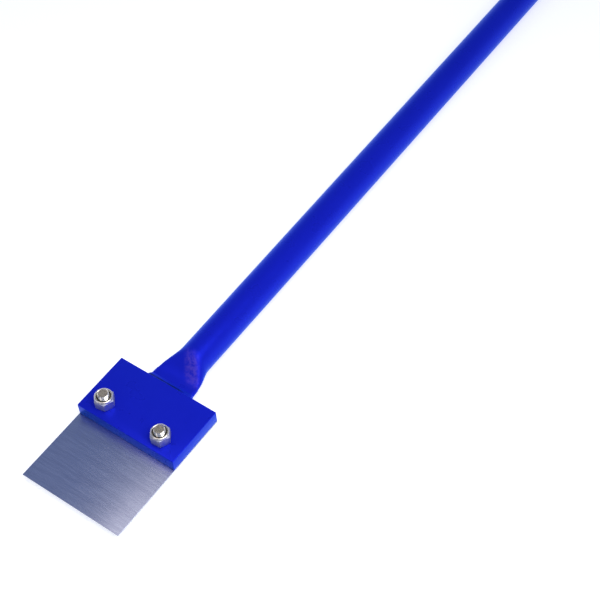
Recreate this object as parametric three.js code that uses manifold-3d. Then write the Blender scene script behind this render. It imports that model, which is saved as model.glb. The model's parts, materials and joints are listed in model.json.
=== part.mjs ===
// A long-handled algae scraper: a thin steel blade bolted under a flat clamp bar,
// with a steel tube for a handle whose end is pressed flat and welded to the bar's back.
// Millimetres. X runs across the blade, +Y from the cutting edge to the handle's end, +Z up.
// It lies with its face up: the bolt heads touch the ground at Z = 0.

import * as THREE from 'three'
import { mergeVertices } from 'three/addons/utils/BufferGeometryUtils.js'
import Module from 'manifold-3d'

const solids = await Module()
solids.setup()

// ---- Driving dimensions ----

const OVERALL_LENGTH = 1200
const HEAD_WIDTH = 101.6
const CONTACT_GAP = 0.1
const BLADE = { thickness: 1.5, reach: 71.8, grindLength: 4, edgeThickness: 0.5 }
const BAR = { depth: 58, thickness: 12.7, edgeRound: 0.4 }
const TUBE = { radius: 15, wall: 2, pressedHalfThickness: 2.25, flatLength: 11.5, flareLength: 26 }
const WELD = { clearance: 0.15, rise: 3.2, run: 4.6, bulge: 0.5, dressedShare: 0.3 }
const PLUG = { headLength: 5, headRadius: 15, stemRadius: 12.7, stemLength: 24, wall: 2, edgeRound: 2.5 }
const BOLT = { radius: 4.9, length: 31, headHeight: 6.4, acrossFlats: 16, tipChamfer: 0.8, faceHeight: 0.4 }
const NUT = { height: 11, acrossFlats: 16, hexHeight: 9, cornerDrop: 0.8, collarRadius: 7.9, bore: 5.2 }
const NYLON = { outerRadius: 6.8, innerRadius: 5.2, bottom: 8.2, thickness: 1.9, clearance: 0.3 }
const WASHER = { outerRadius: 10, innerRadius: 5.25, thickness: 2 }
const HOLE_RADIUS = 5.5
const FLARE_EASE = 0.3
const FINE = 64
const COARSE = 32

// Each bolt's hole, which is drilled by eye and so a little off its mark, with its distance behind
// the bar's front, and the turn in degrees of one corner of the nut and of the head from +X.
const FASTENERS = [
  { side: 'left', x: -32, setback: 14.2, nutTurn: -51, headTurn: 12 },
  { side: 'right', x: 28.9, setback: 12.6, nutTurn: -54.5, headTurn: -20 },
]

// ---- Levels worked out from them ----

const WASHER_BOTTOM = BOLT.headHeight + CONTACT_GAP
const BLADE_BOTTOM = WASHER_BOTTOM + WASHER.thickness + CONTACT_GAP
const BAR_BOTTOM = BLADE_BOTTOM + BLADE.thickness + CONTACT_GAP
const BAR_TOP = BAR_BOTTOM + BAR.thickness
const NUT_BOTTOM = BAR_TOP + CONTACT_GAP
const TUBE_AXIS = BAR_BOTTOM + BAR.thickness / 2

const CUTTING_EDGE = -OVERALL_LENGTH / 2
const BAR_FRONT = CUTTING_EDGE + BLADE.reach
const BAR_BACK = BAR_FRONT + BAR.depth
const TUBE_START = BAR_BACK + CONTACT_GAP
const FLARE_START = BAR_BACK + TUBE.flatLength
const FLARE_END = FLARE_START + TUBE.flareLength
const TUBE_END = OVERALL_LENGTH / 2 - PLUG.headLength - CONTACT_GAP

// ---- Materials ----

function finish(color, roughness, metalness) {
  return new THREE.MeshStandardMaterial({ color, roughness, metalness })
}

const blueCoat = () => finish(0x1426b4, 0.35, 0.1)
const bladeSteel = () => finish(0x8c93ab, 0.4, 1)
const plating = () => finish(0xcfcfd2, 0.25, 1)
const nylonStock = () => finish(0x6a684e, 0.6, 0)
const blackPlastic = () => finish(0x141416, 0.6, 0)

// ---- Helpers ----

function toSolid(geometry) {
  const bare = geometry.clone()
  bare.deleteAttribute('normal')
  bare.deleteAttribute('uv')
  const merged = mergeVertices(bare, 1e-4)
  return new solids.Manifold(new solids.Mesh({
    numProp: 3,
    vertProperties: new Float32Array(merged.attributes.position.array),
    triVerts: new Uint32Array(merged.index.array),
  }))
}

function toGeometry(solid) {
  const mesh = solid.getMesh()
  const geometry = new THREE.BufferGeometry()
  geometry.setAttribute('position', new THREE.BufferAttribute(mesh.vertProperties, 3))
  geometry.setIndex(new THREE.BufferAttribute(mesh.triVerts, 1))
  return geometry
}

function cut(geometry, ...tools) {
  return toGeometry(tools.reduce((body, tool) => body.subtract(toSolid(tool)), toSolid(geometry)))
}

// A solid turned about Z from [radius, height] pairs that start and end on the axis or close on themselves.
function turned(outline, segments = COARSE) {
  const points = outline.map(([radius, height]) => new THREE.Vector2(radius, height))
  return new THREE.LatheGeometry(points, segments).rotateX(Math.PI / 2)
}

// A hexagonal prism standing on Z = 0, with one corner at the given turn from +X.
function hexagon(acrossFlats, height, turn) {
  const corner = acrossFlats / Math.sqrt(3)
  const prism = new THREE.CylinderGeometry(corner, corner, height, 6).rotateX(Math.PI / 2)
  return prism.translate(0, 0, height / 2).rotateZ(THREE.MathUtils.degToRad(turn + 90))
}

function boltHole({ x, setback }) {
  const drill = new THREE.CylinderGeometry(HOLE_RADIUS, HOLE_RADIUS, 2 * BAR_TOP, COARSE)
  return drill.rotateX(Math.PI / 2).translate(x, BAR_FRONT + setback, BAR_BOTTOM)
}

function piece(name, geometry, material, x = 0, y = 0, z = 0) {
  const mesh = new THREE.Mesh(geometry, material)
  mesh.name = name
  mesh.position.set(x, y, z)
  return mesh
}

// ---- Head ----

// The blade's side outline, ground thin from below at the cutting edge and run across the width.
function bladeGeometry() {
  const top = BLADE_BOTTOM + BLADE.thickness
  const outline = new THREE.Shape()
  outline.moveTo(CUTTING_EDGE, top)
  outline.lineTo(CUTTING_EDGE, top - BLADE.edgeThickness)
  outline.lineTo(CUTTING_EDGE + BLADE.grindLength, BLADE_BOTTOM)
  outline.lineTo(BAR_BACK, BLADE_BOTTOM)
  outline.lineTo(BAR_BACK, top)
  outline.closePath()
  const plate = new THREE.ExtrudeGeometry(outline, { depth: HEAD_WIDTH, bevelEnabled: false })
  const acrossX = new THREE.Matrix4().makeBasis(
    new THREE.Vector3(0, 1, 0), new THREE.Vector3(0, 0, 1), new THREE.Vector3(1, 0, 0))
  plate.applyMatrix4(acrossX).translate(-HEAD_WIDTH / 2, 0, 0)
  return cut(plate, ...FASTENERS.map(boltHole))
}

function barGeometry() {
  const outline = new THREE.Shape()
  outline.moveTo(-HEAD_WIDTH / 2, BAR_FRONT)
  outline.lineTo(HEAD_WIDTH / 2, BAR_FRONT)
  outline.lineTo(HEAD_WIDTH / 2, BAR_BACK)
  outline.lineTo(-HEAD_WIDTH / 2, BAR_BACK)
  outline.closePath()
  const block = new THREE.ExtrudeGeometry(outline, {
    depth: BAR.thickness - 2 * BAR.edgeRound,
    bevelThickness: BAR.edgeRound,
    bevelSize: BAR.edgeRound,
    bevelOffset: -BAR.edgeRound,
    bevelSegments: 3,
  })
  block.translate(0, 0, BAR_BOTTOM + BAR.edgeRound)
  return cut(block, ...FASTENERS.map(boltHole))
}

// ---- Handle ----

// Rises from 0 to 1 as a straight ramp whose two ends are rounded off.
function easedRamp(t) {
  const slope = 1 / (1 - FLARE_EASE)
  if (t < FLARE_EASE) return slope * t * t / (2 * FLARE_EASE)
  if (t > 1 - FLARE_EASE) return 1 - slope * (1 - t) * (1 - t) / (2 * FLARE_EASE)
  return slope * (t - FLARE_EASE / 2)
}

function halfThicknessAt(y) {
  const along = THREE.MathUtils.clamp((y - FLARE_START) / (FLARE_END - FLARE_START), 0, 1)
  return THREE.MathUtils.lerp(TUBE.pressedHalfThickness, TUBE.radius, easedRamp(along))
}

// Where a point of the round tube's section goes when the tube is pressed. The section becomes
// two flats joined by round ends, and its outside keeps the length that it had when it was round.
function pressedPoint(x, z, halfThickness) {
  const radius = Math.hypot(x, z)
  const fromSide = TUBE.radius * Math.atan2(Math.abs(z), Math.abs(x))
  const flatHalf = (Math.PI / 2) * (TUBE.radius - halfThickness)
  const onEnd = fromSide < halfThickness * Math.PI / 2
  const angle = onEnd ? fromSide / halfThickness : Math.PI / 2
  const reach = halfThickness + radius - TUBE.radius
  const alongFlat = onEnd ? flatHalf : flatHalf - (fromSide - halfThickness * Math.PI / 2)
  return [
    Math.sign(x) * (alongFlat + reach * Math.cos(angle)),
    Math.sign(z) * reach * Math.sin(angle),
  ]
}

// Presses a solid that was turned about Y: points on the axis stay there.
function pressed(geometry) {
  const place = geometry.attributes.position
  for (let i = 0; i < place.count; i += 1) {
    const y = place.getY(i)
    const onAxis = Math.hypot(place.getX(i), place.getZ(i)) < 1e-6
    const [x, z] = onAxis ? [0, 0] : pressedPoint(place.getX(i), place.getZ(i), halfThicknessAt(y))
    place.setXYZ(i, x, y, z)
  }
  return geometry
}

// The steps along the flare, close enough to follow its rounded ends.
function flareSteps(first) {
  const steps = 14
  const all = Array.from({ length: steps + 1 }, (_, i) => FLARE_START + TUBE.flareLength * i / steps)
  return all.filter((y) => y > first)
}

// The bore runs from the open far end to where the two walls meet inside the pressed end.
function tubeGeometry() {
  const boreRadius = TUBE.radius - TUBE.wall
  const outside = flareSteps(TUBE_START)
  const inside = flareSteps(FLARE_START - 1).reverse()
  const outline = [
    [0, TUBE_START],
    [TUBE.radius, TUBE_START],
    ...outside.map((y) => [TUBE.radius, y]),
    [TUBE.radius, TUBE_END],
    [boreRadius, TUBE_END],
    ...inside.map((y) => [boreRadius, y]),
    [0, FLARE_START],
  ]
  const points = outline.map(([radius, y]) => new THREE.Vector2(radius, y))
  return pressed(new THREE.LatheGeometry(points, FINE))
}

// A fillet of weld metal all round the pressed end, against the bar's back. Its right end has been
// dressed back to a share of what stood out there.
function weldGeometry() {
  const inner = TUBE.radius + WELD.clearance
  const first = TUBE_START
  const face = [0, 0.25, 0.5, 0.75, 1].map((t) => {
    const bulge = WELD.bulge * Math.sin(Math.PI * t)
    return [inner + WELD.rise * (1 - t) + bulge, first + WELD.run * t + bulge]
  })
  const outline = [[inner, first], ...face, [inner, first]]
  const points = outline.map(([radius, y]) => new THREE.Vector2(radius, y))
  const fillet = pressed(new THREE.LatheGeometry(points, FINE))
  const place = fillet.attributes.position
  const [side] = pressedPoint(inner, 0, TUBE.pressedHalfThickness)
  for (let i = 0; i < place.count; i += 1) {
    const proud = place.getX(i) - side
    if (proud > 0) place.setX(i, side + WELD.dressedShare * proud)
  }
  return fillet
}

// A push-in plug: a head as wide as the tube, and a hollow stem that is open inside the tube.
function plugGeometry() {
  const { headLength, headRadius, stemRadius, stemLength, wall, edgeRound } = PLUG
  const corner = [0, 1, 2, 3, 4].map((i) => {
    const angle = Math.PI / 2 * i / 4
    return [
      headRadius - edgeRound * (1 - Math.cos(angle)),
      headLength - edgeRound * (1 - Math.sin(angle)),
    ]
  })
  const outline = [
    [0, -CONTACT_GAP],
    [stemRadius - wall, -CONTACT_GAP],
    [stemRadius - wall, -stemLength],
    [stemRadius - 0.6, -stemLength],
    [stemRadius, 3 - stemLength],
    [stemRadius, 0],
    [headRadius, 0],
    ...corner,
    [0, headLength],
  ]
  const points = outline.map(([radius, y]) => new THREE.Vector2(radius, y))
  return new THREE.LatheGeometry(points, FINE)
}

// ---- Fasteners ----

function boltGeometry(turn) {
  const { radius, length, headHeight, acrossFlats, tipChamfer, faceHeight } = BOLT
  const corner = acrossFlats / Math.sqrt(3)
  const flatRadius = 0.475 * acrossFlats
  const chamfer = (corner - flatRadius) * Math.tan(Math.PI / 6)
  const envelope = turned([
    [0, 0],
    [flatRadius, 0],
    [corner + 0.01, chamfer],
    [corner + 0.01, headHeight - faceHeight],
    [flatRadius, headHeight - faceHeight],
    [flatRadius, headHeight],
    [0, headHeight],
  ])
  const shank = turned([
    [0, headHeight - 1],
    [radius, headHeight - 1],
    [radius, headHeight + length - tipChamfer],
    [radius - tipChamfer, headHeight + length],
    [0, headHeight + length],
  ])
  const head = toSolid(hexagon(acrossFlats, headHeight, turn)).intersect(toSolid(envelope))
  return toGeometry(head.add(toSolid(shank)))
}

function nutGeometry(turn) {
  const { height, acrossFlats, hexHeight, cornerDrop, collarRadius, bore } = NUT
  const corner = acrossFlats / Math.sqrt(3)
  const envelope = turned([
    [0, 0],
    [0.485 * acrossFlats, 0],
    [corner + 0.01, 1],
    [corner + 0.01, hexHeight - cornerDrop],
    [collarRadius, hexHeight],
    [collarRadius, height - 0.9],
    [collarRadius - 0.3, height - 0.25],
    [collarRadius - 0.9, height],
    [0, height],
  ])
  const recess = NYLON.outerRadius + NYLON.clearance
  const lip = NYLON.bottom + NYLON.thickness + NYLON.clearance
  const core = turned([
    [0, -1],
    [bore, -1],
    [bore, NYLON.bottom - NYLON.clearance],
    [recess, NYLON.bottom - NYLON.clearance],
    [recess, lip],
    [recess - 0.6, height + 1],
    [0, height + 1],
  ])
  const body = toSolid(hexagon(acrossFlats, height, turn)).intersect(toSolid(envelope))
  return toGeometry(body.subtract(toSolid(core)))
}

function ringGeometry(outerRadius, innerRadius, bottom, thickness, chamfer) {
  return turned([
    [innerRadius, bottom],
    [outerRadius - chamfer, bottom],
    [outerRadius, bottom + chamfer],
    [outerRadius, bottom + thickness - chamfer],
    [outerRadius - chamfer, bottom + thickness],
    [innerRadius, bottom + thickness],
    [innerRadius, bottom],
  ])
}

function fastenerPieces({ side, x, setback, nutTurn, headTurn }) {
  const y = BAR_FRONT + setback
  const washer = ringGeometry(WASHER.outerRadius, WASHER.innerRadius, 0, WASHER.thickness, 0.2)
  const nylon = ringGeometry(NYLON.outerRadius, NYLON.innerRadius, NYLON.bottom, NYLON.thickness, 0.2)
  return [
    piece(`bolt_${side}`, boltGeometry(headTurn), plating(), x, y, 0),
    piece(`washer_${side}`, washer, plating(), x, y, WASHER_BOTTOM),
    piece(`nut_${side}`, nutGeometry(nutTurn), plating(), x, y, NUT_BOTTOM),
    piece(`nylon_ring_${side}`, nylon, nylonStock(), x, y, NUT_BOTTOM),
  ]
}

// ---- Assembly ----

const scraper = new THREE.Group()
scraper.add(
  piece('blade', bladeGeometry(), bladeSteel()),
  piece('clamp_bar', barGeometry(), blueCoat()),
  piece('handle_tube', tubeGeometry(), blueCoat(), 0, 0, TUBE_AXIS),
  piece('weld_bead', weldGeometry(), blueCoat(), 0, 0, TUBE_AXIS),
  piece('end_plug', plugGeometry(), blackPlastic(), 0, TUBE_END + CONTACT_GAP, TUBE_AXIS),
  ...FASTENERS.flatMap(fastenerPieces),
)

export default scraper
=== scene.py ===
"""A long-handled algae scraper: a brushed blade bolted under a blue bar on a blue steel tube."""

import json
import math

import bmesh
import bpy
from mathutils import Matrix, Vector


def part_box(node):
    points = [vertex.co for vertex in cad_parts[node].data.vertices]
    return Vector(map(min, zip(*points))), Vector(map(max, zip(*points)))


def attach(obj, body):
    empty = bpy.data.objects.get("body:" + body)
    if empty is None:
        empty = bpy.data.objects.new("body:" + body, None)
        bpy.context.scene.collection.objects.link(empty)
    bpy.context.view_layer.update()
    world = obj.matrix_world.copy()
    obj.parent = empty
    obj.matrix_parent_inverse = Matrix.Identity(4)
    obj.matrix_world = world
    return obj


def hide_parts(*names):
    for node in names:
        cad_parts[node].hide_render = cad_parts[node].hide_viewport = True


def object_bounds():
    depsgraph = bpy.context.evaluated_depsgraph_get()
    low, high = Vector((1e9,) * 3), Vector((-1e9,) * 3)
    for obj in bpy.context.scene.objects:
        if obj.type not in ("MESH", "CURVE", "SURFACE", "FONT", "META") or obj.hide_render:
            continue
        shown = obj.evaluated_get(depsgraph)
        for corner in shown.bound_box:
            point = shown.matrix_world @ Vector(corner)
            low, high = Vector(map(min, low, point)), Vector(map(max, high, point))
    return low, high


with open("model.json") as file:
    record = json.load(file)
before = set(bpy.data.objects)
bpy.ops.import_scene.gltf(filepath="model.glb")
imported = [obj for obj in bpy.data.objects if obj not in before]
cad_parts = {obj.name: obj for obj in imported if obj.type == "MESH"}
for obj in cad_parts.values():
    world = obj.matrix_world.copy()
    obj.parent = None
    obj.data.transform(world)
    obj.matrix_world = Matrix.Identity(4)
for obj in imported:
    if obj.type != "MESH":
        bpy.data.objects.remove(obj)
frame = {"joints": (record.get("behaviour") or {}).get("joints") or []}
CAD_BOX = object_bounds()

MM = 0.001
TURN = 2 * math.pi
SIDES = ("left", "right")

# ---- Where the frame puts things ----

BAR_LOW, BAR_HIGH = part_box("clamp_bar")
BLADE_LOW, BLADE_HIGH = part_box("blade")
TUBE_LOW, TUBE_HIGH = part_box("handle_tube")
PLUG_LOW, PLUG_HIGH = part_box("end_plug")
HEAD_CORNER = Vector((0, BAR_LOW.y, BAR_HIGH.z))   # the middle of the bar's top front edge


def bolt_axis(side):
    """The point on the ground under one bolt's axis, from its hinge."""
    hinge = next(j for j in frame["joints"] if j["name"] == f"bolt_{side}_turn")
    return Vector((hinge["pos_m"][0], hinge["pos_m"][1], 0))


# ---- Sizes that the frame doesn't give ----

HOLE_RADIUS = 5.5 * MM
HOLE_COLUMNS = 64
BLADE_DRILL_REACH, BAR_DRILL_REACH = 50 * MM, 60 * MM
EDGE_ROUND = 0.5 * MM
GRAIN_LAYER, GRAIN_SCALE = "grain", 10

TUBE_RADIUS = (TUBE_HIGH.z - TUBE_LOW.z) / 2
TUBE_WALL = 2 * MM
TUBE_AXIS = (TUBE_HIGH.z + TUBE_LOW.z) / 2
FLAT_LENGTH = 11.5 * MM
FLARE_LENGTH = 26 * MM
FLARE_EASE = 0.3
FLARE_START = BAR_HIGH.y + FLAT_LENGTH
FLARE_ROWS = 48

THREAD = {"crest": 4.9 * MM, "depth": 0.82 * MM, "pitch": 1.5 * MM, "runout": 2.2 * MM}
FLANK_SLOPE, FLANK_START = 1.35, -0.2
TIP_CHAMFER = 0.8 * MM
ROWS_PER_PITCH = 12
BOLT_COLUMNS = 72
NUT_COLUMNS = 120
ACROSS_FLATS = 16 * MM
HEX_CHAMFER = math.tan(math.radians(30))
CORNER_TURNS = {"nut_left": -51, "nut_right": -54.5, "bolt_left": 12, "bolt_right": -20}


# ---- Mesh helpers ----

def add_object(name, mesh):
    """Adds an object at the origin that holds the mesh."""
    piece = bpy.data.objects.new(name, mesh)
    bpy.context.scene.collection.objects.link(piece)
    return piece


def mark_sharp(bm, degrees):
    """Shades every face smooth, and leaves hard the edges that bend by more than degrees."""
    limit = math.radians(degrees)
    for edge in bm.edges:
        edge.smooth = len(edge.link_faces) != 2 or edge.calc_face_angle(0) < limit
    for face in bm.faces:
        face.smooth = True


def finish_mesh(name, bm, materials, sharp=32):
    """Merges, turns faces outwards, marks sharp edges and gives the object."""
    bmesh.ops.remove_doubles(bm, verts=bm.verts, dist=1e-7)
    bmesh.ops.recalc_face_normals(bm, faces=bm.faces)
    mark_sharp(bm, sharp)
    mesh = bpy.data.meshes.new(name)
    bm.to_mesh(mesh)
    bm.free()
    for material in materials:
        mesh.materials.append(material)
    return add_object(name, mesh)


def bridge_rings(bm, rings, closed=False, slots=None):
    """Faces between rings of points, where a ring with one point is a pole.

    closed joins the last ring to the first. slots gives each band's material."""
    made = [[bm.verts.new(point) for point in ring] for ring in rings]
    pairs = list(zip(made, made[1:]))
    if closed:
        pairs.append((made[-1], made[0]))
    for index, (low, high) in enumerate(pairs):
        count = max(len(low), len(high))
        for i in range(count):
            j = (i + 1) % count
            corners = [
                low[i % len(low)], low[j % len(low)], high[j % len(high)], high[i % len(high)],
            ]
            face = bm.faces.new(list(dict.fromkeys(corners)))
            face.material_index = slots[index] if slots else 0
    return made


def circle(radius, height, columns):
    """A ring of points about Z, or one point if the radius is 0."""
    if radius == 0:
        return [Vector((0, 0, height))]
    steps = [TURN * i / columns for i in range(columns)]
    return [Vector((radius * math.cos(a), radius * math.sin(a), height)) for a in steps]


def arc(centre, radius, first, last, steps):
    """Points of an arc in an outline, angles in degrees."""
    angles = [math.radians(first + (last - first) * i / steps) for i in range(steps + 1)]
    return [(centre[0] + radius * math.cos(a), centre[1] + radius * math.sin(a)) for a in angles]


def turned_rings(outline, place, columns=96):
    """The rings of an outline of (radius, height) pairs turned about a vertical axis at place."""
    return [[place + point for point in circle(r, z, columns)] for r, z in outline]


def apply_modifiers(piece):
    """Swaps the piece's mesh for a plain one with its modifiers applied."""
    bpy.context.view_layer.update()
    graph = bpy.context.evaluated_depsgraph_get()
    result = bpy.data.meshes.new_from_object(piece.evaluated_get(graph))
    result.name = piece.name
    piece.modifiers.clear()
    piece.data = result
    return piece


def drill_bolt_holes(piece, reach):
    """Cuts a round hole through the piece on each bolt's axis."""
    for side in SIDES:
        bm = bmesh.new()
        radii = (0, HOLE_RADIUS, HOLE_RADIUS, 0)
        heights = (-reach, -reach, reach, reach)
        bridge_rings(bm, turned_rings(zip(radii, heights), bolt_axis(side), HOLE_COLUMNS))
        tool = finish_mesh("drill", bm, [])
        modifier = piece.modifiers.new("hole", "BOOLEAN")
        modifier.object = tool
        modifier.solver = "EXACT"
        apply_modifiers(piece)
        bpy.data.objects.remove(tool)


def resharpen(piece, degrees=32):
    """Marks the sharp edges again after a modifier or a tree has run."""
    bm = bmesh.new()
    bm.from_mesh(piece.data)
    mark_sharp(bm, degrees)
    bm.to_mesh(piece.data)
    bm.free()
    return piece


# ---- Node helpers, for materials and for Geometry Nodes ----

class Tree:
    """Short words for adding and joining nodes in one tree."""

    def __init__(self, tree):
        self.tree = tree

    def node(self, kind, settings=None, **inputs):
        made = self.tree.nodes.new(kind)
        for key, value in (settings or {}).items():
            setattr(made, key, value)
        for key, value in inputs.items():
            self.feed(made.inputs[key.replace("_", " ")], value)
        return made

    def feed(self, socket, value):
        if isinstance(value, bpy.types.NodeSocket):
            self.tree.links.new(value, socket)
        else:
            socket.default_value = value

    def math(self, operation, *values, clamp=False):
        made = self.tree.nodes.new("ShaderNodeMath")
        made.operation = operation
        made.use_clamp = clamp
        for socket, value in zip(made.inputs, values):
            self.feed(socket, value)
        return made.outputs[0]

    def vector(self, operation, *values):
        made = self.tree.nodes.new("ShaderNodeVectorMath")
        made.operation = operation
        for socket, value in zip(made.inputs, values):
            self.feed(socket, value)
        return made.outputs[0]

    def xyz(self, vector):
        return self.node("ShaderNodeSeparateXYZ", Vector=vector).outputs

    def join_xyz(self, x, y, z):
        return self.node("ShaderNodeCombineXYZ", X=x, Y=y, Z=z).outputs[0]

    def ramp_between(self, value, low, high, to_low=0.0, to_high=1.0):
        made = self.node("ShaderNodeMapRange", {"interpolation_type": "SMOOTHSTEP"})
        for socket, entry in zip(made.inputs, (value, low, high, to_low, to_high)):
            self.feed(socket, entry)
        return made.outputs[0]

    def noise(self, vector, scale, detail=2.0, roughness=0.5):
        made = self.node("ShaderNodeTexNoise", Vector=vector, Scale=scale, Detail=detail,
                         Roughness=roughness)
        return made.outputs[0]

    def stretched(self, vector, scale):
        made = self.node("ShaderNodeMapping", Vector=vector)
        made.inputs["Scale"].default_value = scale
        return made.outputs[0]

    def mix_colour(self, factor, first, second):
        made = self.node("ShaderNodeMix", {"data_type": "RGBA"})
        self.feed(made.inputs[0], factor)
        self.feed(made.inputs[6], first)
        self.feed(made.inputs[7], second)
        return made.outputs[2]

    def bump(self, height, distance, strength=1.0, normal=None):
        made = self.node("ShaderNodeBump", Height=height, Distance=distance, Strength=strength)
        if normal is not None:
            self.feed(made.inputs["Normal"], normal)
        return made.outputs[0]


class Finish(Tree):
    """A material with one principled shader, read in object coordinates."""

    def __init__(self, name, **constants):
        self.material = bpy.data.materials.new(name)
        self.material.use_nodes = True
        super().__init__(self.material.node_tree)
        self.shader = self.tree.nodes["Principled BSDF"]
        self.place = self.node("ShaderNodeTexCoord").outputs["Object"]
        for key, value in constants.items():
            self.shader.inputs[key.replace("_", " ")].default_value = value

    def drive(self, **values):
        for key, value in values.items():
            self.feed(self.shader.inputs[key.replace("_", " ")], value)
        return self.material


# ---- Materials ----

# Linear colours: a pair is the two ends of a mottled colour, and a single one lies over the coating.
COAT_BLUES = (0.0085, 0.0125, 0.50, 1), (0.0105, 0.0165, 0.56, 1)
COAT_SPECULAR = (0.15, 0.55, 1.0, 1)
COAT_SHEEN = (0.02, 0.6, 1.0, 1)
# Painted highlight for the pressed flare.
HIGHLIGHT_PURPLE = (0.075, 0.048, 0.53, 1)
# Painted shade for the crease behind the bar.
CREASE_SHADE_BLUE = (0.003, 0.004, 0.13, 1)
BLADE_GREYS = (0.42, 0.455, 0.59, 1), (0.49, 0.53, 0.665, 1)
GROUND_GREYS = (0.48, 0.50, 0.56, 1), (0.62, 0.64, 0.70, 1)
PLATE_SILVERS = (0.78, 0.72, 0.62, 1), (0.93, 0.87, 0.77, 1)
# Painted shade and a painted reflection of the blue bar, for the nuts' hexagons.
SHADED_BLUE_SILVERS = (0.36, 0.37, 0.48, 1), (0.46, 0.47, 0.58, 1)
CROPPED_BROWNS = (0.14, 0.12, 0.085, 1), (0.36, 0.32, 0.25, 1)
NYLON_BROWNS = (0.030, 0.027, 0.014, 1), (0.055, 0.050, 0.026, 1)
PLASTIC_BLACKS = (0.010, 0.010, 0.011, 1), (0.020, 0.020, 0.022, 1)
FLOOR_WHITES = (0.78, 0.78, 0.78, 1), (0.81, 0.81, 0.81, 1)

# The rough patch, bumped with marks and carrying a painted highlight, is a slanting band over the
# middle of the flare.
PATCH_MIDDLE = FLARE_START + 0.45 * FLARE_LENGTH
PATCH_SLANT = 0.7
PATCH_OFFSET = 7.5 * MM

# The painted shade along the crease, and how far it runs each way from the handle's middle.
CREASE_MIDDLE = BAR_HIGH.y + 1.4 * MM
CREASE_LEFT = -23.5 * MM, -21 * MM
CREASE_RIGHT = 17 * MM, 9 * MM


def blue_coating(name, finer):
    """Satin metallic powder coating. finer(coat, colour, roughness, normal) gives those three back."""
    coat = Finish(name, Metallic=0.35, Specular_Tint=COAT_SPECULAR, IOR=1.5, Specular_IOR_Level=0.1,
                  Sheen_Weight=0.16, Sheen_Roughness=0.5, Sheen_Tint=COAT_SHEEN)
    colour = coat.mix_colour(coat.noise(coat.place, 22, 3), *COAT_BLUES)
    peel = coat.noise(coat.place, 900, 2)
    grain = coat.noise(coat.place, 3200, 1)
    roughness = coat.ramp_between(coat.noise(coat.place, 60, 3), 0.3, 0.7, 0.26, 0.34)
    normal = coat.bump(peel, 0.014 * MM)
    normal = coat.bump(grain, 0.003 * MM, normal=normal)
    colour, roughness, normal = finer(coat, colour, roughness, normal)
    return coat.drive(Base_Color=colour, Roughness=roughness, Normal=normal)


def marked_flare_and_painted_highlight(coat, colour, roughness, normal):
    """The dull zone on top of the flare, the marks the press left in it as bumps, and a purple painted
    highlight over the marks.
    """
    x, y, z = coat.xyz(coat.place)
    from_middle = coat.math("SUBTRACT", y, PATCH_MIDDLE)
    along = coat.math("ABSOLUTE", from_middle)
    pressed = coat.ramp_between(along, 0.62 * FLARE_LENGTH, 0.15 * FLARE_LENGTH)
    pressed = coat.math("MULTIPLY", pressed, coat.ramp_between(z, TUBE_AXIS, TUBE_AXIS + 1 * MM))
    aslant = coat.math("MULTIPLY_ADD", from_middle, PATCH_SLANT, x)
    from_band = coat.math("ABSOLUTE", coat.math("SUBTRACT", aslant, PATCH_OFFSET))
    patch = coat.math("MULTIPLY", pressed, coat.ramp_between(from_band, 10 * MM, 3 * MM))
    marks = coat.noise(coat.place, 330, 4, 0.6)
    painted_highlight = coat.math("MULTIPLY", patch, coat.ramp_between(marks, 0.32, 0.68, 0.15, 1.0))
    # Painted highlight: the purple stands in for the light's reflection on the rough patch.
    colour = coat.mix_colour(painted_highlight, colour, HIGHLIGHT_PURPLE)
    normal = coat.bump(coat.math("MULTIPLY", marks, patch), 0.12 * MM, normal=normal)
    roughness = coat.math("ADD", roughness, coat.math("MULTIPLY", pressed, 0.25))
    return colour, roughness, normal


def painted_crease_shade(coat, colour, roughness, normal):
    """Painted shade: a broken dark line painted into the colour along the crease between the bar and
    the weld.
    """
    x, y, _ = coat.xyz(coat.place)
    from_crease = coat.math("ABSOLUTE", coat.math("SUBTRACT", y, CREASE_MIDDLE))
    broken = coat.ramp_between(coat.noise(coat.place, 240, 3), 0.3, 0.6, 0.6, 1.0)
    painted_shade = coat.ramp_between(from_crease, 1.5 * MM, 0.6 * MM)
    painted_shade = coat.math("MULTIPLY", painted_shade, broken)
    painted_shade = coat.math("MULTIPLY", painted_shade, coat.ramp_between(x, *CREASE_LEFT))
    painted_shade = coat.math("MULTIPLY", painted_shade, coat.ramp_between(x, *CREASE_RIGHT))
    # The dark blue mixed in here is painted shade.
    return coat.mix_colour(painted_shade, colour, CREASE_SHADE_BLUE), roughness, normal


def brushed_blade():
    """Steel brushed across its width, so that a highlight stretches square to the lines."""
    steel = Finish("brushed_blade", Metallic=1.0, Anisotropic=0.9)
    lines = steel.noise(steel.stretched(steel.place, (60, 2600, 60)), 1.0, 3, 0.6)
    streaks = steel.noise(steel.stretched(steel.place, (40, 480, 40)), 1.0, 4, 0.65)
    cloud = steel.noise(steel.place, 35, 3)
    colour = steel.mix_colour(steel.ramp_between(streaks, 0.3, 0.7), *BLADE_GREYS)
    roughness = steel.math("ADD", steel.ramp_between(cloud, 0.3, 0.7, 0.20, 0.235),
                           steel.math("MULTIPLY", streaks, 0.05))
    normal = steel.bump(lines, 0.002 * MM)
    tangent = steel.node("ShaderNodeTangent", {"direction_type": "UV_MAP", "uv_map": GRAIN_LAYER})
    return steel.drive(Base_Color=colour, Roughness=roughness, Normal=normal,
                       Tangent=tangent.outputs[0])


def ground_edge():
    """Coarsely ground steel, its lines running back from the cutting edge."""
    steel = Finish("ground_edge", Metallic=1.0)
    lines = steel.noise(steel.stretched(steel.place, (2400, 120, 120)), 1.0, 3, 0.6)
    colour = steel.mix_colour(lines, *GROUND_GREYS)
    roughness = steel.ramp_between(lines, 0.2, 0.8, 0.28, 0.42)
    return steel.drive(Base_Color=colour, Roughness=roughness, Normal=steel.bump(lines, 0.01 * MM))


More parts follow.
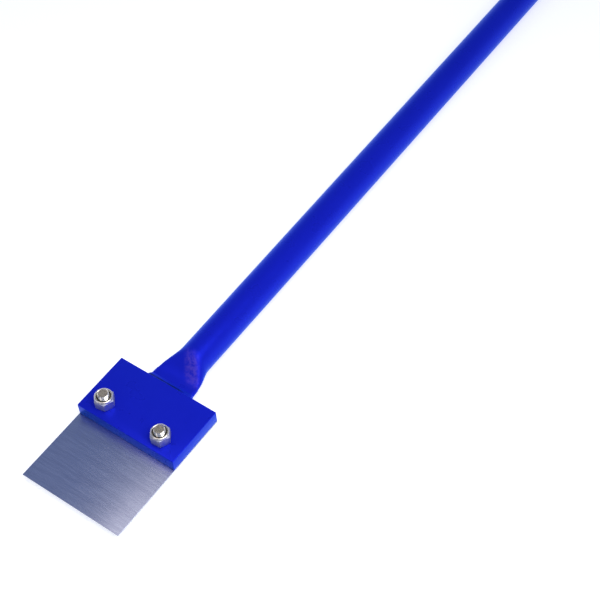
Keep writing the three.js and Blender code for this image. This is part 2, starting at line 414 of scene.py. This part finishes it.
def plating(name, low, high, colours):
    """Plating, clouded and finely scratched, whose roughness runs from low to high."""
    plate = Finish(name, Metallic=1.0)
    cloud = plate.noise(plate.place, 420, 3)
    scratches = plate.noise(plate.stretched(plate.place, (500, 500, 4200)), 1.0, 2)
    colour = plate.mix_colour(cloud, *colours)
    roughness = plate.ramp_between(cloud, 0.3, 0.7, low, high)
    normal = plate.bump(scratches, 0.01 * MM)
    return plate.drive(Base_Color=colour, Roughness=roughness, Normal=normal)


def cropped_end():
    """The rough face where the bolt's bar was cropped."""
    steel = Finish("cropped_end", Metallic=0.4)
    pits = steel.noise(steel.place, 1100, 4, 0.65)
    colour = steel.mix_colour(steel.ramp_between(pits, 0.35, 0.65), *CROPPED_BROWNS)
    roughness = steel.ramp_between(pits, 0.2, 0.8, 0.38, 0.6)
    return steel.drive(Base_Color=colour, Roughness=roughness, Normal=steel.bump(pits, 0.12 * MM))


def locking_nylon():
    nylon = Finish("locking_nylon", IOR=1.53, Subsurface_Weight=0.05)
    cloud = nylon.noise(nylon.place, 700, 2)
    colour = nylon.mix_colour(cloud, *NYLON_BROWNS)
    roughness = nylon.ramp_between(cloud, 0.3, 0.7, 0.35, 0.5)
    return nylon.drive(Base_Color=colour, Roughness=roughness, Normal=nylon.bump(cloud, 0.03 * MM))


def moulded_plastic():
    plastic = Finish("moulded_plastic", IOR=1.49)
    leather = plastic.noise(plastic.place, 1400, 3, 0.6)
    cloud = plastic.noise(plastic.place, 90, 3)
    colour = plastic.mix_colour(cloud, *PLASTIC_BLACKS)
    roughness = plastic.ramp_between(cloud, 0.3, 0.7, 0.42, 0.55)
    normal = plastic.bump(leather, 0.04 * MM)
    return plastic.drive(Base_Color=colour, Roughness=roughness, Normal=normal)


# The bar's coating, with painted shade along the crease behind it.
COAT = blue_coating("blue_coating", painted_crease_shade)
# The tube's coating, with a painted highlight on the flare.
PRESSED_COAT = blue_coating("blue_coating_pressed", marked_flare_and_painted_highlight)
BLADE_STEEL = brushed_blade()
GROUND_STEEL = ground_edge()
PLATING = plating("bright_plating", 0.20, 0.30, PLATE_SILVERS)
# A darker, bluish, rougher copy of the plating: its colour is painted shade and painted reflection.
DULL_SHADED_PLATING = plating("dull_plating", 0.46, 0.56, SHADED_BLUE_SILVERS)
CROPPED = cropped_end()
NYLON = locking_nylon()
PLASTIC = moulded_plastic()


# ---- Geometry Nodes ----

def new_tree(name, sockets):
    """A geometry tree whose named inputs are (name, kind) pairs, with one mesh out."""
    tree = bpy.data.node_groups.new(name, "GeometryNodeTree")
    tree.interface.new_socket("Mesh", in_out="INPUT", socket_type="NodeSocketGeometry")
    for label, kind in sockets:
        tree.interface.new_socket(label, in_out="INPUT", socket_type=f"NodeSocket{kind}")
    tree.interface.new_socket("Mesh", in_out="OUTPUT", socket_type="NodeSocketGeometry")
    build = Tree(tree)
    build.given = build.node("NodeGroupInput").outputs
    return build


def join_geometry(build, first, second):
    joined = build.node("GeometryNodeJoinGeometry")
    for part in (first, second):
        build.tree.links.new(part, joined.inputs[0])
    return joined.outputs[0]


def end_tree(build, mesh, material=None):
    """Ends a tree: real geometry with its material."""
    real = build.node("GeometryNodeRealizeInstances", Geometry=mesh).outputs[0]
    if material is not None:
        real = build.node("GeometryNodeSetMaterial", Geometry=real, Material=material).outputs[0]
    build.node("NodeGroupOutput", Mesh=real)
    return build.tree


def run_tree(piece, tree, values):
    """Runs a tree on a piece with its inputs set by name, and leaves a plain mesh."""
    modifier = piece.modifiers.new(tree.name, "NODES")
    modifier.node_group = tree
    for item in tree.interface.items_tree:
        if item.in_out == "INPUT" and item.name in values:
            modifier[item.identifier] = values[item.name]
    return apply_modifiers(piece)


def thread_tree():
    """Puts a threaded shank between the head and the end face that the piece already has."""
    build = new_tree("screw_thread", [
        ("Axis", "Vector"), ("Lowest", "Float"), ("Length", "Float"), ("Crest radius", "Float"),
        ("Thread depth", "Float"), ("Pitch", "Float"), ("Runout", "Float"), ("Tip radius", "Float"),
        ("Columns", "Int"), ("Rows", "Int"), ("Material", "Material"),
    ])
    given = build.given
    wall = build.node("GeometryNodeMeshCylinder", {"fill_type": "NONE"}, Vertices=given["Columns"],
                      Side_Segments=given["Rows"], Radius=given["Crest radius"], Depth=given["Length"])
    half = build.math("MULTIPLY", given["Length"], 0.5)
    raised = build.node("GeometryNodeTransform", Geometry=wall.outputs["Mesh"],
                        Translation=build.join_xyz(0.0, 0.0, half)).outputs[0]
    x, y, z = build.xyz(build.node("GeometryNodeInputPosition").outputs[0])
    angle = build.math("ARCTAN2", y, x)
    turns = build.math("SUBTRACT", build.math("DIVIDE", z, given["Pitch"]),
                       build.math("DIVIDE", angle, TURN))
    wave = build.math("ABSOLUTE", build.math("MULTIPLY_ADD", build.math("FRACT", turns), 2.0, -1.0))
    # Clamped, so that straight flanks run between a flat root and a flat crest.
    flank = build.math("MULTIPLY_ADD", wave, FLANK_SLOPE, FLANK_START, clamp=True)
    started = build.math("DIVIDE", z, given["Runout"], clamp=True)
    depth = build.math("MULTIPLY", build.math("MULTIPLY", given["Thread depth"], started),
                       build.math("SUBTRACT", 1.0, flank))
    threaded = build.math("SUBTRACT", given["Crest radius"], depth)
    to_end = build.math("SUBTRACT", given["Length"], z)
    chamfered = build.math("ADD", given["Tip radius"], to_end)
    radius = build.math("MINIMUM", threaded, chamfered)
    low = build.math("ADD", z, given["Lowest"])
    place = build.join_xyz(build.math("MULTIPLY", radius, build.math("COSINE", angle)),
                           build.math("MULTIPLY", radius, build.math("SINE", angle)), low)
    shaped = build.node("GeometryNodeSetPosition", Geometry=raised,
                        Position=build.vector("ADD", place, given["Axis"])).outputs[0]
    coloured = build.node("GeometryNodeSetMaterial", Geometry=shaped, Material=given["Material"])
    joined = join_geometry(build, coloured.outputs[0], given["Mesh"])
    merged = build.node("GeometryNodeMergeByDistance", Geometry=joined, Distance=0.01 * MM)
    return end_tree(build, merged.outputs[0])


def ripple_tree():
    """Raises overlapping crescents along a weld, from its along and across attributes."""
    build = new_tree("weld_ripples", [
        ("Spacing", "Float"), ("Height", "Float"), ("Crescent", "Float"), ("Unevenness", "Float"),
        ("Material", "Material"),
    ])
    given = build.given
    read = {"data_type": "FLOAT"}
    along = build.node("GeometryNodeInputNamedAttribute", read, Name="along").outputs[0]
    across = build.node("GeometryNodeInputNamedAttribute", read, Name="across").outputs[0]
    spread = build.math("MULTIPLY_ADD", across, 2.0, -1.0)
    bent = build.math("MULTIPLY", build.math("MULTIPLY", spread, spread), given["Crescent"])
    step = build.math("FRACT", build.math("DIVIDE", build.math("ADD", along, bent), given["Spacing"]))
    crest = build.math("POWER", build.math("SINE", build.math("MULTIPLY", step, math.pi)), 0.6)
    shell = build.math("SINE", build.math("MULTIPLY", across, math.pi), clamp=True)
    place = build.node("GeometryNodeInputPosition").outputs[0]
    lumps = build.math("SUBTRACT", build.noise(place, 260, 2), 0.5)
    rise = build.math("ADD", build.math("MULTIPLY", crest, given["Height"]),
                      build.math("MULTIPLY", lumps, given["Unevenness"]))
    normal = build.node("GeometryNodeInputNormal").outputs[0]
    offset = build.node("ShaderNodeVectorMath", {"operation": "SCALE"})
    build.feed(offset.inputs[0], normal)
    build.feed(offset.inputs["Scale"], build.math("MULTIPLY", rise, shell))
    moved = build.node("GeometryNodeSetPosition", Geometry=given["Mesh"], Offset=offset.outputs[0])
    return end_tree(build, moved.outputs[0], given["Material"])


def fin_tree():
    """Flexible fins one above another round a plug's stem, along Y."""
    build = new_tree("plug_fins", [
        ("First", "Vector"), ("Step", "Vector"), ("Count", "Int"), ("Radius", "Float"),
        ("Thickness", "Float"), ("Material", "Material"),
    ])
    given = build.given
    line = build.node("GeometryNodeMeshLine", {"mode": "OFFSET"}, Count=given["Count"],
                      Start_Location=given["First"], Offset=given["Step"]).outputs[0]
    narrow = build.math("SUBTRACT", given["Radius"], given["Thickness"])
    fin = build.node("GeometryNodeMeshCone", {"fill_type": "NGON"}, Vertices=64, Radius_Top=narrow,
                     Radius_Bottom=given["Radius"], Depth=given["Thickness"]).outputs[0]
    fins = build.node("GeometryNodeInstanceOnPoints", Points=line, Instance=fin,
                      Rotation=(math.pi / 2, 0.0, 0.0)).outputs[0]
    return end_tree(build, join_geometry(build, fins, given["Mesh"]), given["Material"])


# ---- Blade and bar ----

def make_blade():
    """The plate, ground thin from below along its cutting edge, with a fine break on every corner."""
    edge, grind, lip = 0.08 * MM, 4 * MM, 0.5 * MM
    low, high = BLADE_LOW, BLADE_HIGH
    outline = [
        (low.y, high.z - edge), (low.y + edge, high.z),
        (high.y - edge, high.z), (high.y, high.z - edge),
        (high.y, low.z + edge), (high.y - edge, low.z),
        (low.y + grind, low.z), (low.y, high.z - lip),
    ]
    middle_y, middle_z = (low.y + high.y) / 2, (low.z + high.z) / 2
    bm = bmesh.new()
    rings = []
    for x, inset in ((low.x, edge), (low.x + edge, 0), (high.x - edge, 0), (high.x, edge)):
        ring = []
        for y, z in outline:
            y = y + math.copysign(min(inset, abs(middle_y - y)), middle_y - y)
            z = z + math.copysign(min(inset, abs(middle_z - z)), middle_z - z) * 0.5
            ring.append(Vector((x, y, z)))
        rings.append(ring)
    made = bridge_rings(bm, rings)
    for cap in (made[0], made[-1]):
        bm.faces.new(cap)
    piece = finish_mesh("blade_plate", bm, [BLADE_STEEL, GROUND_STEEL], sharp=20)
    drill_bolt_holes(piece, BLADE_DRILL_REACH)
    resharpen(piece, 20)
    paint_grain(piece)
    return piece


def paint_grain(piece):
    """A UV layer whose U runs square to the brushed lines, and ground steel on bevel and edges."""
    mesh = piece.data
    layer = mesh.uv_layers.new(name=GRAIN_LAYER)
    for face in mesh.polygons:
        for corner in face.loop_indices:
            point = mesh.vertices[mesh.loops[corner].vertex_index].co
            layer.data[corner].uv = ((point.y + point.z) * GRAIN_SCALE, point.x * GRAIN_SCALE)
        flat = abs(face.normal.z) > 0.999
        face.material_index = 0 if flat else 1


def make_bar():
    """The bar, its edges eased and its bolt holes drilled through."""
    bm = bmesh.new()
    bmesh.ops.create_cube(bm, size=1.0)
    size = BAR_HIGH - BAR_LOW
    middle = (BAR_HIGH + BAR_LOW) / 2
    for vert in bm.verts:
        vert.co = Vector((vert.co.x * size.x, vert.co.y * size.y, vert.co.z * size.z)) + middle
    bmesh.ops.bevel(bm, geom=bm.edges[:], offset=EDGE_ROUND, segments=4, profile=0.5, affect="EDGES")
    piece = finish_mesh("bar_body", bm, [COAT], sharp=40)
    drill_bolt_holes(piece, BAR_DRILL_REACH)
    return resharpen(piece, 40)


# ---- Handle ----

def eased_ramp(t):
    """Rises from 0 to 1 as a straight ramp whose two ends are rounded off."""
    slope = 1 / (1 - FLARE_EASE)
    if t < FLARE_EASE:
        return slope * t * t / (2 * FLARE_EASE)
    if t > 1 - FLARE_EASE:
        return 1 - slope * (1 - t) * (1 - t) / (2 * FLARE_EASE)
    return slope * (t - FLARE_EASE / 2)


def pressed_half_thickness():
    """Half the flat's thickness, from its width: pressing leaves the section's outside as long."""
    half_width = (TUBE_HIGH.x - TUBE_LOW.x) / 2
    quarter = math.pi / 2
    return (quarter * TUBE_RADIUS - half_width) / (quarter - 1)


PRESSED = pressed_half_thickness()


def half_thickness_at(y):
    along = min(1, max(0, (y - FLARE_START) / FLARE_LENGTH))
    return PRESSED + (TUBE_RADIUS - PRESSED) * eased_ramp(along)


def pressed_point(share, offset, half_thickness):
    """The point of the pressed section that is this share of the way round, moved out by offset.

    Gives x and z from the tube's axis, and the way out there."""
    around = (share % 1) * TURN
    quadrant = int(around // (math.pi / 2)) % 4
    turned = around - quadrant * math.pi / 2
    from_side = TUBE_RADIUS * (turned if quadrant % 2 == 0 else math.pi / 2 - turned)
    flat_half = (math.pi / 2) * (TUBE_RADIUS - half_thickness)
    end_length = half_thickness * math.pi / 2
    if from_side < end_length:
        angle, along_flat = from_side / half_thickness, flat_half
    else:
        angle, along_flat = math.pi / 2, flat_half - (from_side - end_length)
    reach = half_thickness + offset
    sign_x = 1 if quadrant in (0, 3) else -1
    sign_z = 1 if quadrant in (0, 1) else -1
    return sign_x * (along_flat + reach * math.cos(angle)), sign_z * reach * math.sin(angle)


def tube_ring(y, offset, columns=160):
    half = half_thickness_at(y)
    points = (pressed_point(i / columns, offset, half) for i in range(columns))
    return [Vector((x, y, TUBE_AXIS + z)) for x, z in points]


def flare_steps():
    return [FLARE_START + FLARE_LENGTH * i / FLARE_ROWS for i in range(FLARE_ROWS + 1)]


def soften(rings, rounds=60):
    """Eases the creases between rings of vertices, and leaves the first and last ring alone."""
    for _ in range(rounds):
        moved = []
        for before, ring, after in zip(rings, rings[1:], rings[2:]):
            count = len(ring)
            for i, vert in enumerate(ring):
                around = (ring[i - 1].co + ring[(i + 1) % count].co) / 2
                along = (before[i].co + after[i].co) / 2
                moved.append((vert, vert.co * 0.5 + around * 0.25 + along * 0.25))
        for vert, place in moved:
            vert.co = Vector((place.x, vert.co.y, place.z))


def make_tube():
    """The hollow tube: outside from the bar to the open end, then back down the bore to the press."""
    lip = 0.4 * MM
    start, end = TUBE_LOW.y, TUBE_HIGH.y
    flare_end, lengths = FLARE_START + FLARE_LENGTH, 24
    straight = [flare_end + (end - flare_end) * i / lengths for i in range(1, lengths)]
    outside = [start + lip, start + FLAT_LENGTH / 2, *flare_steps(), *straight, end - lip]
    inside = [end - lip, *reversed(straight), *reversed(flare_steps())]
    rings = [[Vector((0, start, TUBE_AXIS))], tube_ring(start, -lip)]
    rings += [tube_ring(y, 0) for y in outside]
    rings += [tube_ring(end, -lip), tube_ring(end, -TUBE_WALL + lip / 2)]
    rings += [tube_ring(y, -TUBE_WALL) for y in inside]
    rings.append([Vector((0, FLARE_START, TUBE_AXIS))])
    bm = bmesh.new()
    made = bridge_rings(bm, rings)
    first_soft = 3   # the ring halfway along the flat, which stays
    soften(made[first_soft:first_soft + FLARE_ROWS + 4])
    return finish_mesh("tube_body", bm, [PRESSED_COAT], sharp=45)


def make_weld():
    """A fillet ring round the pressed end, dressed back at its right end, with ripples laid over it."""
    columns, steps = 360, 18
    inner, rise, run = 0.02 * MM, 3.2 * MM, 4.8 * MM
    dressed, broad_face_share = 0.3, 0.75
    start = BAR_HIGH.y
    half = half_thickness_at(start)
    side, _ = pressed_point(0, inner, half)

    def trimmed(x):
        return min(x, side + dressed * (x - side))

    def flatter(z):
        """The bead lies lower on the broad faces than round the sides."""
        return math.copysign(min(abs(z), half + broad_face_share * (abs(z) - half)), z)

    def ring(offset, y):
        points = (pressed_point(i / columns, offset, half) for i in range(columns))
        return [Vector((trimmed(x), y, TUBE_AXIS + flatter(z))) for x, z in points]

    across = [step / steps for step in range(steps + 1)]
    rings = [ring(inner + rise * (1 - t), start + run * t) for t in across]
    rings.append(ring(inner, start))
    across.append(0)
    bm = bmesh.new()
    along_layer = bm.verts.layers.float.new("along")
    across_layer = bm.verts.layers.float.new("across")
    made = bridge_rings(bm, rings, closed=True)
    for verts, t in zip(made, across):
        for i, vert in enumerate(verts):
            vert[along_layer] = TURN * TUBE_RADIUS * i / columns
            vert[across_layer] = t
    piece = finish_mesh("weld_fillet", bm, [COAT], sharp=50)
    return run_tree(piece, ripple_tree(), {
        "Spacing": 1.7 * MM, "Height": 0.12 * MM, "Crescent": 1.1 * MM, "Unevenness": 0.25 * MM,
        "Material": COAT,
    })


def along_y(outline, place, columns=96):
    """The rings of an outline of (radius, length) pairs turned about an axis along +Y."""
    turn = Matrix.Rotation(-math.pi / 2, 3, "X")
    return [[place + turn @ point for point in circle(r, z, columns)] for r, z in outline]


def make_plug():
    """A head with a rounded rim and a shallow dish, and a hollow stem with fins that grip the bore."""
    head = PLUG_HIGH.z - TUBE_AXIS
    length = 5 * MM
    stem, wall, depth = 11.2 * MM, 1.8 * MM, PLUG_HIGH.y - PLUG_LOW.y - length
    rim = 2.4 * MM
    dish, dish_depth = 8.5 * MM, 0.6 * MM
    outline = [
        (0, -0.1 * MM), (stem - wall, -0.1 * MM), (stem - wall, -depth), (stem - 0.5 * MM, -depth),
        (stem, -depth + 2 * MM), (stem, 0), (head - 0.2 * MM, 0), (head, 0.2 * MM),
        *arc((head - rim, length - rim), rim, 0, 90, 8),
        (dish + 0.5 * MM, length), (dish, length - 0.15 * MM), (dish - 0.5 * MM, length - dish_depth),
        (1.6 * MM, length - dish_depth), (1.3 * MM, length - dish_depth - 0.2 * MM),
        (0, length - dish_depth - 0.2 * MM),
    ]
    place = Vector((0, PLUG_HIGH.y - length, TUBE_AXIS))
    bm = bmesh.new()
    bridge_rings(bm, along_y(outline, place))
    piece = finish_mesh("plug_body", bm, [PLASTIC], sharp=35)
    return run_tree(piece, fin_tree(), {
        "First": place + Vector((0, -depth + 4 * MM, 0)), "Step": Vector((0, 5 * MM, 0)), "Count": 4,
        "Radius": TUBE_RADIUS - TUBE_WALL - 0.05 * MM, "Thickness": 1 * MM, "Material": PLASTIC,
    })


# ---- Fasteners ----

def hexagon_reach(angle, corner_turn):
    """How far a hexagon's side is from its middle, at an angle."""
    from_flat = (angle - corner_turn) % (TURN / 6) - TURN / 12
    return ACROSS_FLATS / 2 / math.cos(from_flat)


def hexagon_ring(height_of, place, corner_turn, columns):
    """A ring round the hexagon's sides, whose height follows its reach at each angle."""
    ring = []
    for i in range(columns):
        angle = TURN * i / columns
        reach = hexagon_reach(angle, corner_turn)
        corner = (reach * math.cos(angle), reach * math.sin(angle), height_of(reach))
        ring.append(place + Vector(corner))
    return ring


def make_bolt(side):
    """The chamfered head and the cropped end face, with a threaded shank run between them."""
    name = f"bolt_{side}"
    low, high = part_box(name)
    place = bolt_axis(side)
    corner_turn = math.radians(CORNER_TURNS[name])
    head_height = 6.4 * MM
    face_radius = 0.475 * ACROSS_FLATS
    washer_face = 0.4 * MM
    tip_radius = THREAD["crest"] - TIP_CHAMFER
    top = Vector((0, 0, high.z))

    def chamfer_height(reach):
        return (reach - face_radius) * HEX_CHAMFER

    def shoulder_height(_):
        return head_height - washer_face

    def hexagon(height_of):
        return hexagon_ring(height_of, place, corner_turn, BOLT_COLUMNS)

    dished_face = [
        (0, 0.35 * MM), (3.2 * MM, 0.35 * MM), (5.2 * MM, 0.25 * MM), (6.2 * MM, 0), (face_radius, 0),
    ]
    shoulder = [
        (face_radius, head_height - washer_face), (face_radius - 0.05 * MM, head_height),
        (THREAD["crest"], head_height),
    ]
    cropped_face = [
        (tip_radius, 0), (tip_radius - 0.3 * MM, 0), (2.2 * MM, -0.05 * MM), (1.1 * MM, 0),
        (0, -0.04 * MM),
    ]
    rings = turned_rings(dished_face, place, BOLT_COLUMNS)
    rings += [hexagon(chamfer_height), hexagon(shoulder_height)]
    rings += turned_rings(shoulder, place, BOLT_COLUMNS)
    bm = bmesh.new()
    bridge_rings(bm, rings)
    end = turned_rings(cropped_face, place + top, BOLT_COLUMNS)
    bridge_rings(bm, end, slots=[1] * len(end))
    piece = finish_mesh(f"{name}_steel", bm, [PLATING, CROPPED])
    length = high.z - low.z - head_height
    run_tree(piece, THREAD_TREE, {
        "Axis": place, "Lowest": head_height, "Length": length, "Crest radius": THREAD["crest"],
        "Thread depth": THREAD["depth"], "Pitch": THREAD["pitch"], "Runout": THREAD["runout"],
        "Tip radius": tip_radius, "Columns": BOLT_COLUMNS, "Material": PLATING,
        "Rows": round(ROWS_PER_PITCH * length / THREAD["pitch"]),
    })
    return resharpen(piece)


def make_nut(side):
    """The nut's chamfered hexagon, and the collar that is rolled in over the locking ring."""
    name = f"nut_{side}"
    low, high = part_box(name)
    place = bolt_axis(side) + Vector((0, 0, low.z))
    height = high.z - low.z
    corner_turn = math.radians(CORNER_TURNS[name])
    face_radius, hex_height, collar = 0.485 * ACROSS_FLATS, 9 * MM, 7.9 * MM
    bore, sink, sink_height = 5 * MM, 5.7 * MM, 0.9 * MM
    groove, groove_bottom, lip, roll = 7.1 * MM, 8 * MM, 6.4 * MM, 1 * MM

    def low_chamfer(reach):
        return max(0, (reach - face_radius) * HEX_CHAMFER)

    def high_chamfer(reach):
        return hex_height - max(0, (reach - collar) * HEX_CHAMFER)

    def hexagon(height_of):
        return hexagon_ring(height_of, place, corner_turn, NUT_COLUMNS)

    bearing_face = [(bore, sink_height), (sink, 0), (face_radius, 0)]
    rolled = [
        (collar, hex_height), (collar, height - 1.1 * MM),
        *arc((collar - roll, height - roll), roll, 0, 100, 8),
        (lip, height - 0.2 * MM), (lip, height - 0.7 * MM), (groove, height - 0.75 * MM),
        (groove, groove_bottom), (bore, groove_bottom),
    ]
    rings = turned_rings(bearing_face, place, NUT_COLUMNS)
    rings += [hexagon(low_chamfer), hexagon(high_chamfer)]
    # The bearing face and hexagon take the darker copy of the plating as painted shade; the collar
    # takes the bright one.
    slots = [1] * len(rings) + [0] * len(rolled)
    rings += turned_rings(rolled, place, NUT_COLUMNS)
    bm = bmesh.new()
    bridge_rings(bm, rings, closed=True, slots=slots)
    return finish_mesh(f"{name}_steel", bm, [PLATING, DULL_SHADED_PLATING], sharp=25)


def make_nylon_ring(side):
    """The locking ring under the collar's lip, its inner top edge rounded by the thread."""
    low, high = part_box(f"nylon_ring_{side}")
    outer, inner = 7.0 * MM, 4.92 * MM
    top, edge, entry = high.z, 0.3 * MM, 0.5 * MM
    outline = [
        (inner, low.z), (outer, low.z), (outer, top - edge), (outer - edge, top),
        *arc((inner + entry, top - entry), entry, 90, 180, 5), (inner, low.z + 0.2 * MM),
    ]
    bm = bmesh.new()
    bridge_rings(bm, turned_rings(outline, bolt_axis(side)), closed=True)
    return finish_mesh(f"locking_ring_{side}", bm, [NYLON])


def make_washer(side):
    """A punched washer: one rim rounded by the punch, the other left sharp."""
    low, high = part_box(f"washer_{side}")
    outer, inner, round_edge = (high.x - low.x) / 2, 5.25 * MM, 0.5 * MM
    outline = [
        (inner, low.z + 0.1 * MM), (inner + 0.1 * MM, low.z),
        *arc((outer - round_edge, low.z + round_edge), round_edge, -90, 0, 5),
        (outer, high.z - 0.08 * MM), (outer - 0.08 * MM, high.z),
        (inner + 0.3 * MM, high.z), (inner, high.z - 0.3 * MM),
    ]
    bm = bmesh.new()
    bridge_rings(bm, turned_rings(outline, bolt_axis(side)), closed=True)
    return finish_mesh(f"washer_{side}_steel", bm, [PLATING])


THREAD_TREE = thread_tree()


# ---- Putting it together ----

def place_piece(piece, body, node):
    """The piece rides the body, in place of the plain node."""
    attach(piece, body)
    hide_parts(node)


HEAD = "head_and_handle"
place_piece(make_blade(), HEAD, "blade")
place_piece(make_bar(), HEAD, "clamp_bar")
place_piece(make_tube(), HEAD, "handle_tube")
place_piece(make_weld(), HEAD, "weld_bead")
place_piece(make_plug(), HEAD, "end_plug")
for side in SIDES:
    place_piece(make_washer(side), HEAD, f"washer_{side}")
    place_piece(make_bolt(side), f"bolt_{side}", f"bolt_{side}")
    place_piece(make_nut(side), f"nut_{side}", f"nut_{side}")
    place_piece(make_nylon_ring(side), f"nut_{side}", f"nylon_ring_{side}")


# ---- Studio ----

FLOOR_REACH = 4.0
FLOOR_GLOW = 0.57

HORIZON_FRONT = (0.10, 0.11, 0.14, 1)
HORIZON_REST = (0.90, 0.93, 1.0, 1)
OVERHEAD = (0.20, 0.25, 0.42, 1)

# Lights and camera are placed from HEAD_CORNER, in metres and watts.
KEY = {"offset": (0.40, 0.02, 0.76), "size": (0.6, 0.6), "power": 5.3, "colour": (1, 1, 1)}
FILL = {"offset": (-0.30, -0.50, 0.68), "size": (0.3, 0.25), "power": 0.45, "colour": (1, 0.95, 0.88)}
CARD = {"offset": (-0.124, 0.03, 0.60), "size": (0.26, 0.27), "power": 0.46, "colour": (1, 0.87, 0.73)}

CAMERA_OFFSET = (0.5228, -0.4146, 0.9870)
CAMERA_AIM = (0.0409, 0.1921, 0)
CAMERA_ROLL = -4.11
CAMERA_LENS = 86.27
CAMERA_SENSOR = 36


def make_floor():
    """A white floor under the scraper, which glows a little so that shadows stay faint."""
    floor = Finish("studio_floor", Roughness=0.9, Emission_Color=(1, 1, 1, 1),
                   Emission_Strength=FLOOR_GLOW)
    material = floor.drive(Base_Color=floor.mix_colour(floor.noise(floor.place, 3, 2), *FLOOR_WHITES))
    corners = ((-1, -1), (1, -1), (1, 1), (-1, 1))
    bm = bmesh.new()
    bm.faces.new([
        bm.verts.new((x * FLOOR_REACH, y * FLOOR_REACH, CAD_BOX[0].z)) for x, y in corners
    ])
    plane = finish_mesh("floor", bm, [material])


def add_light(name, offset, size, power, colour, aim=None):
    """A rectangular light that the camera doesn't see. It faces HEAD_CORNER, or along aim."""
    light = bpy.data.lights.new(name, "AREA")
    light.shape = "RECTANGLE"
    light.size, light.size_y = size
    light.energy = power
    light.color = colour
    lamp = bpy.data.objects.new(name, light)
    lamp.visible_camera = False
    lamp.location = HEAD_CORNER + Vector(offset)
    lamp.rotation_mode = "QUATERNION"
    lamp.rotation_quaternion = Vector(aim or [-part for part in offset]).to_track_quat("-Z", "Y")
    bpy.context.scene.collection.objects.link(lamp)


def make_world():
    """A white horizon, dimmer in front, that fades to a dim blue overhead."""
    world = bpy.data.worlds.new("studio")
    world.use_nodes = True
    sky = Tree(world.node_tree)
    _, ahead, height = sky.xyz(sky.node("ShaderNodeTexCoord").outputs["Generated"])
    horizon = sky.mix_colour(sky.ramp_between(ahead, -0.6, 0.0), HORIZON_FRONT, HORIZON_REST)
    colour = sky.mix_colour(sky.ramp_between(height, 0.05, 0.6), horizon, OVERHEAD)
    background = world.node_tree.nodes["Background"]
    sky.feed(background.inputs["Color"], colour)
    bpy.context.scene.world = world


def make_camera():
    data = bpy.data.cameras.new("camera")
    data.sensor_width = CAMERA_SENSOR
    data.lens = CAMERA_LENS
    camera = bpy.data.objects.new("camera", data)
    camera.location = HEAD_CORNER + Vector(CAMERA_OFFSET)
    target = HEAD_CORNER + Vector(CAMERA_AIM)
    level = (target - camera.location).to_track_quat("-Z", "Y").to_matrix()
    roll = Matrix.Rotation(math.radians(CAMERA_ROLL), 3, "Z")
    camera.rotation_mode = "QUATERNION"
    camera.rotation_quaternion = (level @ roll).to_quaternion()
    bpy.context.scene.collection.objects.link(camera)
    bpy.context.scene.camera = camera


make_floor()
make_world()
add_light("key", **KEY)
add_light("fill", **FILL)
add_light("card", **CARD, aim=(0, 0, -1))
make_camera()
bpy.context.scene.view_settings.view_transform = "Standard"
